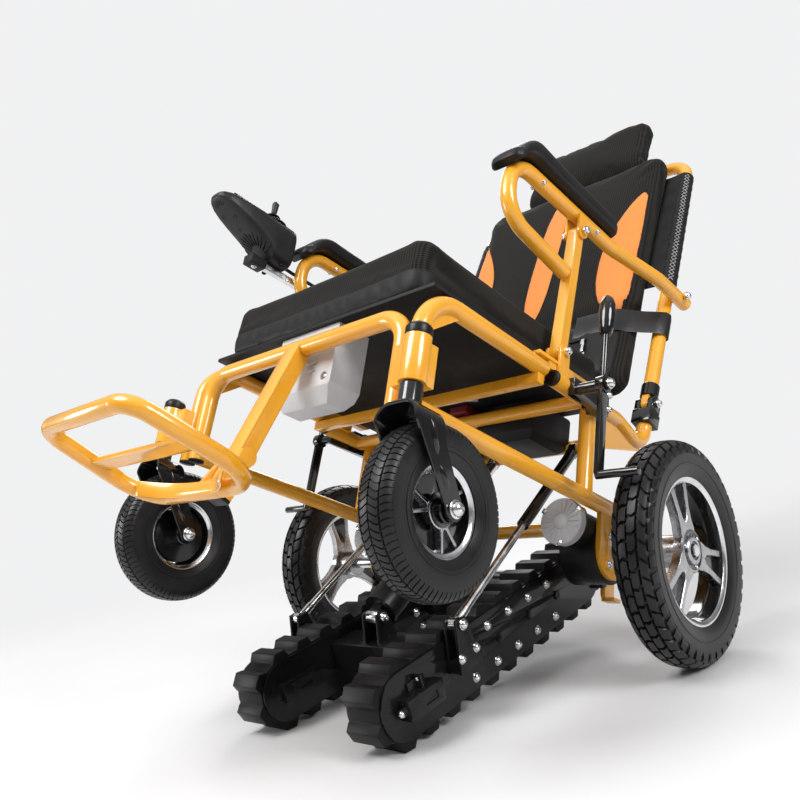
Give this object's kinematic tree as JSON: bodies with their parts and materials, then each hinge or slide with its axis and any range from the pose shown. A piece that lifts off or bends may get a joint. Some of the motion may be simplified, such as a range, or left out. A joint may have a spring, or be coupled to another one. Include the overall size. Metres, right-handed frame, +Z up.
{
  "type": "stair climbing wheelchair",
  "caption": "Electric wheelchair with driven rear wheels, casters, reclined back, headrest, swing-up arms, joystick and a fold-down lugged crawler unit for climbing stairs.",
  "frame": {"origin": "on the floor, under the middle of the bounding box", "axes": "+X to the rider's left, +Y to the rear, +Z up; the chair faces -Y and stands tipped nose-up on its rear wheels and crawler noses"},
  "size_m": [0.749, 1.388, 1.0156],
  "materials": {
    "frame_paint": "gloss yellow paint on welded tube",
    "seat_board": "black stained board",
    "cushion_cloth": "matte black cloth over foam",
    "case_grey": "light grey moulded case",
    "motor_black": "satin black",
    "plug_black": "moulded plugs",
    "bracket_black": "satin black",
    "crawler_black": "satin black",
    "shaft_steel": "plain steel",
    "tyre_black": "matte rubber",
    "rim_alloy": "satin cast",
    "pad_skin": "moulded skin foam",
    "control_plastic": "fine grain",
    "bright_steel": "bright",
    "lead_rubber": "matte",
    "sleeve_cloth": "black laced side cover",
    "belt_rubber": "matte with raised lugs",
    "drum_plastic": "moulded",
    "tube_black": "satin black"
  },
  "bodies": {
    "chassis": {"upper_rail_left": "frame_paint", "upper_rail_right": "frame_paint", "lower_frame_left": "frame_paint", "lower_frame_right": "frame_paint", "front_hoop": "frame_paint", "cross_tubes": "frame_paint", "footrest_stem": "frame_paint", "seat_board": "seat_board", "seat_cushion": "cushion_cloth", "battery_case": "case_grey", "motor_left": "motor_black", "motor_right": "motor_black", "tube_caps": "plug_black", "brake_clamps": "bracket_black", "pivot_shaft": "shaft_steel", "back_hinges": "bracket_black"},
    "footrest": {"footrest_loop": "frame_paint"},
    "back": {"back_frame": "frame_paint", "back_pad": "cushion_cloth", "cane_sleeves": "sleeve_cloth"},
    "headrest": {"headrest_pad": "cushion_cloth", "headrest_bars": "shaft_steel"},
    "arm_left": {"arm_tube_left": "frame_paint", "arm_pad_left": "pad_skin"},
    "arm_right": {"arm_tube_right": "frame_paint", "arm_pad_right": "pad_skin", "controller_case": "control_plastic", "controller_bar": "bright_steel", "controller_lead": "lead_rubber"},
    "joystick_base": {"joystick_boot": "control_plastic"},
    "joystick_stick": {"joystick_knob": "control_plastic"},
    "crawler": {"track_frame_left": "crawler_black", "track_frame_right": "crawler_black", "track_belt_left": "belt_rubber", "track_belt_right": "belt_rubber", "tensioners": "control_plastic", "track_bridge": "crawler_black", "track_motor": "motor_black"},
    "rear_drums": {"drive_sprockets": "drum_plastic"},
    "front_drums": {"front_idlers": "drum_plastic"},
    "lift_rod": {"actuator_rod": "bright_steel"},
    "lift_barrel": {"actuator_barrel": "tube_black"},
    "wheel_left": {"rear_tyre_left": "tyre_black", "rear_rim_left": "rim_alloy"},
    "fork_left": {"caster_fork_left": "bracket_black"},
    "caster_left": {"caster_tyre_left": "tyre_black", "caster_rim_left": "rim_alloy"},
    "post_left": {"arm_post_left": "frame_paint"},
    "brake_left": {"brake_lever_left": "control_plastic"},
    "strut_upper_left": {"strut_tube_left": "tube_black"},
    "strut_lower_left": {"strut_rod_left": "bright_steel"},
    "wheel_right": {"rear_tyre_right": "tyre_black", "rear_rim_right": "rim_alloy"},
    "fork_right": {"caster_fork_right": "bracket_black"},
    "caster_right": {"caster_tyre_right": "tyre_black", "caster_rim_right": "rim_alloy"},
    "post_right": {"arm_post_right": "frame_paint"},
    "brake_right": {"brake_lever_right": "control_plastic"},
    "strut_upper_right": {"strut_tube_right": "tube_black"},
    "strut_lower_right": {"strut_rod_right": "bright_steel"}
  },
  "joints": [
    {"name": "footrest_fold", "type": "hinge", "parent": "chassis", "child": "footrest", "pos_m": [0, -0.48328, 0.38611], "axis": [-1, 0, 0], "range_deg": [0, 85]},
    {"name": "back_fold", "type": "hinge", "parent": "chassis", "child": "back", "pos_m": [0, 0.17667, 0.36748], "axis": [1, 0, 0], "range_deg": [0, 22]},
    {"name": "headrest_slide", "type": "slide", "parent": "back", "child": "headrest", "axis": [0, 0.6293, 0.7772], "range_m": [0, 0.06]},
    {"name": "crawler_swing", "type": "hinge", "parent": "chassis", "child": "crawler", "pos_m": [0, 0.05122, 0.11262], "axis": [-1, 0, 0], "range_deg": [0, 48]},
    {"name": "rear_drum_spin", "type": "hinge", "parent": "crawler", "child": "rear_drums", "pos_m": [0, 0.05122, 0.11262], "axis": [1, 0, 0], "continuous": true},
    {"name": "front_drum_spin", "type": "hinge", "parent": "crawler", "child": "front_drums", "pos_m": [0, -0.39999, 0.054], "axis": [1, 0, 0], "continuous": true},
    {"name": "lift_pivot", "type": "hinge", "parent": "chassis", "child": "lift_rod", "pos_m": [0, 0.06891, 0.31621], "axis": [-1, 0, 0], "range_deg": [0, 42.65]},
    {"name": "lift_slide", "type": "slide", "parent": "lift_rod", "child": "lift_barrel", "axis": [0, 0.887, 0.4618], "range_m": [0, 0.16418]},
    {"name": "joystick_pitch", "type": "hinge", "parent": "arm_right", "child": "joystick_base", "pos_m": [-0.266, -0.14064, 0.81334], "axis": [1, 0, 0], "range_deg": [-15, 15], "stiffness_Nm_per_rad": 0.4},
    {"name": "joystick_roll", "type": "hinge", "parent": "joystick_base", "child": "joystick_stick", "pos_m": [-0.266, -0.14064, 0.81334], "axis": [0, 0.9063, -0.4226], "range_deg": [-15, 15], "stiffness_Nm_per_rad": 0.4},
    {"name": "wheel_left_spin", "type": "hinge", "parent": "chassis", "child": "wheel_left", "pos_m": [0.346, -0.01084, 0.157], "axis": [1, 0, 0], "continuous": true},
    {"name": "caster_left_swivel", "type": "hinge", "parent": "chassis", "child": "fork_left", "pos_m": [0.267, -0.41835, 0.44962], "axis": [0, 0.4226, 0.9063], "continuous": true},
    {"name": "caster_left_spin", "type": "hinge", "parent": "fork_left", "child": "caster_left", "pos_m": [0.267, -0.42918, 0.28917], "axis": [1, 0, 0], "continuous": true},
    {"name": "arm_left_pivot", "type": "hinge", "parent": "back", "child": "arm_left", "pos_m": [0.273, 0.32393, 0.54934], "axis": [1, 0, 0], "range_deg": [-20.26, 0]},
    {"name": "post_left_pivot", "type": "hinge", "parent": "chassis", "child": "post_left", "pos_m": [0.238, -0.05951, 0.46436], "axis": [1, 0, 0], "range_deg": [0, 22.87]},
    {"name": "brake_left_lever", "type": "hinge", "parent": "chassis", "child": "brake_left", "pos_m": [0.306, -0.0691, 0.40594], "axis": [1, 0, 0], "range_deg": [0, 3.5]},
    {"name": "strut_left_pivot", "type": "hinge", "parent": "chassis", "child": "strut_upper_left", "pos_m": [0.16, 0.06891, 0.31621], "axis": [-1, 0, 0], "range_deg": [0, 43.2]},
    {"name": "strut_left_slide", "type": "slide", "parent": "strut_upper_left", "child": "strut_lower_left", "axis": [0, 0.8905, 0.455], "range_m": [0, 0.16454]},
    {"name": "wheel_right_spin", "type": "hinge", "parent": "chassis", "child": "wheel_right", "pos_m": [-0.346, -0.01084, 0.157], "axis": [1, 0, 0], "continuous": true},
    {"name": "caster_right_swivel", "type": "hinge", "parent": "chassis", "child": "fork_right", "pos_m": [-0.267, -0.41835, 0.44962], "axis": [0, 0.4226, 0.9063], "continuous": true},
    {"name": "caster_right_spin", "type": "hinge", "parent": "fork_right", "child": "caster_right", "pos_m": [-0.267, -0.42918, 0.28917], "axis": [1, 0, 0], "continuous": true},
    {"name": "arm_right_pivot", "type": "hinge", "parent": "back", "child": "arm_right", "pos_m": [-0.273, 0.32393, 0.54934], "axis": [1, 0, 0], "range_deg": [-20.26, 0]},
    {"name": "post_right_pivot", "type": "hinge", "parent": "chassis", "child": "post_right", "pos_m": [-0.238, -0.05951, 0.46436], "axis": [1, 0, 0], "range_deg": [0, 22.87]},
    {"name": "brake_right_lever", "type": "hinge", "parent": "chassis", "child": "brake_right", "pos_m": [-0.306, -0.0691, 0.40594], "axis": [1, 0, 0], "range_deg": [0, 3.5]},
    {"name": "strut_right_pivot", "type": "hinge", "parent": "chassis", "child": "strut_upper_right", "pos_m": [-0.16, 0.06891, 0.31621], "axis": [-1, 0, 0], "range_deg": [0, 43.2]},
    {"name": "strut_right_slide", "type": "slide", "parent": "strut_upper_right", "child": "strut_lower_right", "axis": [0, 0.8905, 0.455], "range_m": [0, 0.16454]}
  ],
  "couplings": [
    {"joint": "front_drum_spin", "follows": "rear_drum_spin", "ratio": 1},
    {"joint": "lift_pivot", "follows": "crawler_swing", "ratio": 0.87809},
    {"joint": "lift_slide", "follows": "crawler_swing", "m_per_rad": 0.19478},
    {"joint": "arm_left_pivot", "follows": "back_fold", "ratio": -0.89799},
    {"joint": "post_left_pivot", "follows": "back_fold", "ratio": 1.0167},
    {"joint": "strut_left_pivot", "follows": "crawler_swing", "ratio": 0.88959},
    {"joint": "strut_left_slide", "follows": "crawler_swing", "m_per_rad": 0.19521},
    {"joint": "arm_right_pivot", "follows": "back_fold", "ratio": -0.89799},
    {"joint": "post_right_pivot", "follows": "back_fold", "ratio": 1.0167},
    {"joint": "strut_right_pivot", "follows": "crawler_swing", "ratio": 0.88959},
    {"joint": "strut_right_slide", "follows": "crawler_swing", "m_per_rad": 0.19521}
  ]
}
